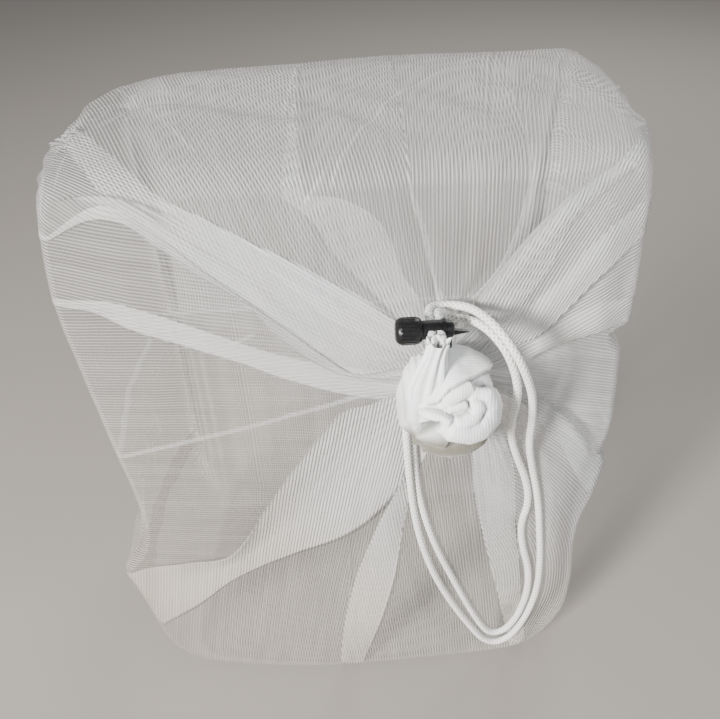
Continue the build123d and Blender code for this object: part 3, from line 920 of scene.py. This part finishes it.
def ball_height(a, b):
    """Height of the bundle's folds, where its hollow is, and where its big curled fold is."""
    h = 0.02 * np.sin(2 * pi * (a * 1.3 + b * 0.5)) + 0.012 * np.sin(7 * b - 3 * a)
    h += step(a, b, [(-0.56, 0.12), (-0.42, 0.06), (-0.25, 0.09), (-0.05, 0.31), (0.33, 0.48),
                     (0.68, 0.60), (1.2, 0.72)], 0.17, 0.8, sharp=0.02)
    h += ridge(a, b, [(-0.20, 1.15), (-0.26, 0.80), (-0.32, 0.52), (-0.50, 0.20)], 0.05, -0.12)
    for line, radius, lift in ROLLS:
        h = over(h, roll(a, b, line, radius, lift))
    curled = roll(a, b, CURL, 0.215, 0.01)
    on_curl = smoothstep((curled - h + 0.02) / 0.04)
    h = over(h, curled)
    h += ridge(a, b, [(0.46, 0.42), (0.58, 0.36), (0.74, 0.34)], 0.05, -0.10)
    rope = roll(a, b, [(-0.58, -0.11), (-0.42, -0.14), (-0.20, -0.23), (-0.02, -0.33)], 0.085,
                0.10)
    h = over(h, rope + 0.018 * np.sin((a - 1.6 * b) * 2 * pi / 0.075))
    hollow = np.exp(-(((a + 0.46) / 0.21) ** 4) - ((b + 0.40 - 0.25 * (a + 0.46)) / 0.085) ** 4)
    return h - 0.36 * hollow, hollow, on_curl


def make_ball():
    rows, cols = 190, 250
    theta = np.linspace(0.0, pi, rows)[:, None] * np.ones((1, cols))
    phi = np.linspace(0, 2 * pi, cols, endpoint=False)[None, :] * np.ones((rows, 1))
    right = np.sin(theta) * np.cos(phi)
    up = np.sin(theta) * np.sin(phi)
    front = np.cos(theta)
    way = (right[..., None] * RIGHT_WAY + up[..., None] * UP_WAY + front[..., None] * TO_CAMERA)
    base = way * BALL_SIZE
    a = base @ RIGHT_WAY / BALL_R
    b = base @ UP_WAY / BALL_R
    h, hollow, on_curl = ball_height(a, b)
    # Painted shade in the creases: darker where the surface lies below the mean of its
    # neighbours, on the side seen from the front.
    reach = 0.045
    around = sum(ball_height(a + x, b + y)[0] for x, y in
                 ((reach, 0), (-reach, 0), (0, reach), (0, -reach))) / 4
    seen = smoothstep((front + 0.15) / 0.4)
    crevice_shade = np.clip((around - h) * 30, 0, 1) * seen
    behind = 0.04 * np.sin(phi * 17 + 2.5 * np.sin(phi * 3)) * np.sin(theta)
    h = h * seen + behind * (1 - seen)
    lumps = np.empty(a.shape)
    for i in range(rows):
        for j in range(cols):
            p = base[i, j] / 8.0
            lumps[i, j] = noise.noise(Vector(p)) + 0.4 * noise.noise(Vector(p * 2.3))
    h = h + 0.018 * lumps
    points = BALL_AT + base * (0.945 + h)[..., None]
    flap = smoothstep((b - (0.33 + 0.25 * a)) / 0.05) * (a > -0.35)
    u = np.where(flap > 0.5, b * 0.966 + a * 0.24, a) * BALL_R * MM
    v = b * BALL_R * MM
    # Painted shade and painted warm reflection: darker on the lower part except on the big curl,
    # in the hollow and down the left side; it fades towards the back.
    painted_shade = smoothstep((-b - 0.34) / 0.42) * (1 - 0.85 * on_curl) + 0.9 * hollow
    painted_shade += 0.45 * smoothstep((-a - 0.5) / 0.5) * smoothstep((0.7 - b) / 0.8)
    painted_shade = np.clip(painted_shade, 0, 1) * smoothstep((front + 0.9) / 0.7)
    faces = grid_faces(rows, cols, closed=True)
    return build("gathered_hem", points.reshape(-1, 3) * MM, faces, HEM_CLOTH,
                 uv=np.stack([u, v], axis=-1).reshape(-1, 2),
                 floats={"painted_shade": painted_shade.ravel(), "crevice_shade": crevice_shade.ravel()})


def make_tuft():
    """Mouth of the casing: cloth gathered round the two cords, in pleats down to a point."""
    rows, cols = 64, 144
    t = np.linspace(0, 1, rows)[:, None]
    phi = np.linspace(0, 2 * pi, cols, endpoint=False)[None, :]
    top, foot = np.array([39.1, -88.9, 283.6]), np.array([32.6, -89.4, 254.0])
    inside = 1 - np.clip(t / 0.08, 0, 1)
    down = np.clip((t - 0.08) / 0.92, 0, 1)
    pleat = np.sin(8 * phi + 1.6 * np.sin(2.6 * down))
    sharp = np.sign(pleat) * np.abs(pleat) ** 0.8
    radius = np.interp(down, [0, 0.1, 0.25, 0.45, 0.75, 1.0], [4.9, 4.4, 4.6, 6.0, 7.6, 6.8])
    radius = radius * (1 + (0.15 - 0.05 * down) * sharp + 0.05 * np.sin(3 * phi + 5 * down))
    radius = radius - 1.6 * inside
    frill = (1 - smoothstep(down / 0.14)) * 0.9 * np.sin(5 * phi + 0.8) - 2.2 * inside
    middle = top + (foot - top) * down[..., None]
    ring = np.stack([np.cos(phi) + 0 * t, 0.86 * np.sin(phi) + 0 * t, 0 * phi + 0 * t], axis=-1)
    points = middle + ring * radius[..., None]
    points[..., 2] += frill
    u = (phi / (2 * pi) * 0.044 + 0 * t)
    v = (down * 0.024 + 0 * phi)
    # Painted shade in the valleys between the pleats and inside the rolled-in mouth.
    pleat_shade = np.clip(-pleat * 0.9 - 0.25, 0, 1) + 0.5 * inside
    return build("hem_tuft", points.reshape(-1, 3) * MM, grid_faces(rows, cols, closed=True),
                 HEM_CLOTH, uv=np.stack([u, v], axis=-1).reshape(-1, 2),
                 floats={"painted_shade": np.zeros(u.size), "crevice_shade": np.clip(pleat_shade, 0, 1).ravel() * 0.7})


ball = make_ball()
tuft = make_tuft()


STITCH_R, STITCH_Y = 10.2, -57.2


def make_stitches():
    """Ring of separate stitches round the neck."""
    points, faces, uv = [], [], []
    total = 26
    for k in range(total):
        first = len(points)
        for i in range(7):
            turn = 2 * pi * (k + 0.72 * i / 6) / total
            lift = 0.5 * sin(pi * i / 6)
            for j in range(8):
                spin = 2 * pi * j / 8
                thick = 0.42 * (0.35 + 0.65 * sin(pi * min(max(i / 6, 0.06), 0.94)))
                r = STITCH_R + lift * 0.5 + thick * cos(spin)
                points.append((KNOT_X + r * cos(turn), STITCH_Y + thick * sin(spin),
                               KNOT_Z + r * sin(turn)))
                uv.append((turn * 0.01, spin * 0.0004))
        faces += grid_faces(7, 8, closed=True, start=first)
    return build("neck_stitches", np.array(points) * MM, faces, THREAD, uv=uv)


stitches = make_stitches()

# Drawstring
CORD_R = 1.9 * MM


def cord_line(route):
    """Points along the NURBS line with these control points."""
    data = bpy.data.curves.new("line", "CURVE")
    data.dimensions = "3D"
    data.resolution_u = 24
    spline = data.splines.new("NURBS")
    spline.points.add(len(route) - 1)
    for point, (x, y, z) in zip(spline.points, route):
        point.co = (x * MM, y * MM, z * MM, 1.0)
    spline.order_u = 3
    spline.use_endpoint_u = True
    holder = bpy.data.objects.new("line", data)
    mesh = bpy.data.meshes.new_from_object(holder)
    line = np.array([v.co[:] for v in mesh.vertices])
    bpy.data.objects.remove(holder)
    bpy.data.meshes.remove(mesh)
    return line


def braid(name, lines, around=24, pitch=0.00034, cell=0.0028, radius=CORD_R):
    """Braided cord along one or more lines: two sets of yarns crossing round a tube."""
    points, faces, uv, groove_shade = [], [], [], []
    for line in lines:
        gaps = np.linalg.norm(np.diff(line, axis=0), axis=1)
        line = line[np.concatenate([[True], gaps > 1e-9])]
        run = running(line)
        where = np.linspace(0, run[-1], max(8, int(run[-1] / pitch)))
        spots = at(line, run, where)
        along = unit(np.gradient(spots, axis=0))
        side = unit(np.cross(along[0], (0.3, 0.9, 0.2)))
        first = len(points)
        spin = np.linspace(0, 2 * pi, around, endpoint=False)
        for spot, way, s in zip(spots, along, where):
            side = unit(side - way * side.dot(way))
            up = np.cross(way, side)
            one = np.cos(4 * spin + 2 * pi * s / cell)
            two = np.cos(4 * spin - 2 * pi * s / cell)
            high = np.maximum(one, two)
            r = radius * (0.94 + 0.10 * high)
            ring = spot + r[:, None] * (np.cos(spin)[:, None] * side + np.sin(spin)[:, None] * up)
            points.extend(ring)
            uv.extend(np.column_stack([np.full(around, s), spin * radius]))
            # Painted shade: darker where the braid's surface dips between its crossing yarns.
            groove_shade.extend(np.clip(0.5 - high, 0, 1))
        faces += grid_faces(len(where), around, closed=True, start=first)
        faces.append(tuple(range(first, first + around)))
        last = first + (len(where) - 1) * around
        faces.append(tuple(range(last + around - 1, last - 1, -1)))
    return build(name, points, faces, CORD_CLOTH, uv=uv, uv_name="lay",
                 floats={"groove_shade": groove_shade})


outer_line, inner_line = cord_line(OUTER_ROUTE), cord_line(INNER_ROUTE)
outer = braid("drawstring_outer", [outer_line])
inner = braid("drawstring_inner", [inner_line])

TILT = radians(2.0)
HOLE = np.array([0.0, cos(TILT), sin(TILT)])
LOCK_AT = np.array([39.0, -78.0, 282.0])
CASING_R, CASING_Y = 13.5, -86.0
KNOT_AT = np.array([29.0, -56.5, 237.5])


def inside_lines():
    """Ring of drawstring inside the hem, and the two runs up and through the lock."""
    turn = np.linspace(0, 2 * pi, 120)
    ring = np.column_stack([KNOT_X + CASING_R * np.cos(turn), np.full(120, CASING_Y),
                            KNOT_Z + CASING_R * np.sin(turn)])
    lines = [ring * MM]
    for side in (-1, 1):
        middle = LOCK_AT + np.array([side * 2.0, 0, 0])
        corner = middle - 9.9 * HOLE
        rise = sqrt(CASING_R**2 - (middle[0] - KNOT_X) ** 2)
        foot = np.array([middle[0], CASING_Y, KNOT_Z + rise])
        bend = []
        for k in range(9):
            t = k / 8
            a = foot + (corner - foot) * (0.82 + 0.18 * t)
            b = corner + HOLE * (2.6 * t)
            bend.append(a * (1 - t) + b * t)
        lines.append(np.array([foot] + bend + [middle + 8.69 * HOLE]) * MM)
    return lines


runs = braid("drawstring_inside", inside_lines())


def knot_line():
    """Overhand knot drawn tight."""
    turn = np.linspace(0, 2 * pi, 160)
    x = 1.15 * (np.sin(turn) + 1.35 * np.sin(2 * turn))
    z = 1.5 * (np.cos(turn) - 1.35 * np.cos(2 * turn))
    y = -1.35 * np.sin(3 * turn)
    return (np.column_stack([x, y, z]) + KNOT_AT) * MM


knot = braid("drawstring_end_knot", [knot_line()], radius=1.75 * MM)

# Cord lock: the CAD pieces keep their shape and get their materials here.
for node, material in (("cord_lock_housing", LOCK_BLACK), ("cord_lock_plunger", BUTTON_BLACK),
                       ("cord_lock_spring", STEEL)):
    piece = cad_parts[node]
    piece.data.materials.clear()
    piece.data.materials.append(material)

# The spring stands between the button's floor and the barrel's rim and shortens by the button's
# travel; it gets a visual copy, attached to the cord lock, in place of the CAD spring.
cad_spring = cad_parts["cord_lock_spring"]
spring = add_object("lock_spring", cad_spring.data.copy())
spring.matrix_world = cad_spring.matrix_world.copy()
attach(spring, "cord_lock")
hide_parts("cord_lock_spring")
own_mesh(spring)

for obj, node in ((upper, "upper_panel"), (lower, "lower_panel"),
                  (left_seam, "left_seam_overlock"), (right_seam, "right_seam_overlock"),
                  (end_seam, "bottom_seam_overlock"), (ball, "hem_casing"),
                  (stitches, "hem_stitch_line"), (runs, "drawstring_in_hem"),
                  (outer, "drawstring_outer_strand"), (inner, "drawstring_inner_strand"),
                  (knot, "drawstring_knot")):
    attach(obj, "bag")
    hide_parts(node)
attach(tuft, "bag")

# Floor, light and camera


def floor_material():
    t = Tree("floor")
    t.set(Base_Color=t.mix(t.noise(3.0), (0.26, 0.236, 0.214, 1), (0.272, 0.247, 0.224, 1)))
    t.set(Roughness=0.8)
    return t.mat


bpy.ops.mesh.primitive_plane_add(size=14.0, location=(0, 2.0, 0))
floor = bpy.context.object
floor.name = "floor"
floor.data.materials.append(floor_material())

world = bpy.data.worlds.new("studio")
bpy.context.scene.world = world
world.use_nodes = True
sky, strength = world.node_tree.nodes["Background"].inputs[:2]
sky.default_value = (0.93, 0.96, 1.0, 1)
strength.default_value = 0.36


def area_light(name, place, target, size, power, colour):
    data = bpy.data.lights.new(name, "AREA")
    data.shape = "DISK"
    data.size = size
    data.energy = power
    data.color = colour
    light = add_object(name, data)
    light.location = place
    way = Vector(target) - Vector(place)
    light.rotation_euler = way.to_track_quat("-Z", "Y").to_euler()


area_light("key", (-0.85, -1.05, 0.78), (0, 0, 0.2), 0.35, 68.0, (1.0, 0.985, 0.96))
area_light("fill", (1.2, -0.9, 0.7), (0, 0, 0.15), 0.6, 8.0, (0.95, 0.97, 1.0))
area_light("rim", (0.5, 1.0, 1.1), (0, 0, 0.2), 0.7, 14.0, (1.0, 1.0, 1.0))


def aim_camera():
    """Camera where the bag was seen from: 37 degrees down, turned a little about its axis."""
    pitch, roll = radians(36.8), radians(3.3)
    ahead = Vector((0, cos(pitch), -sin(pitch)))
    level = Vector((1, 0, 0))
    down = ahead.cross(level)
    right = cos(roll) * level + sin(roll) * down
    below = -sin(roll) * level + cos(roll) * down
    data = bpy.data.cameras.new("camera")
    data.sensor_fit = "HORIZONTAL"
    data.sensor_width = 36.0
    data.lens = 41.95
    data.clip_start = 0.01
    camera = add_object("camera", data)
    turn = Matrix((right, -below, -ahead)).transposed()
    camera.matrix_world = Matrix.Translation((0.0056, -0.3745, 0.490)) @ turn.to_4x4()
    bpy.context.scene.camera = camera


aim_camera()

bpy.context.view_layer.update()
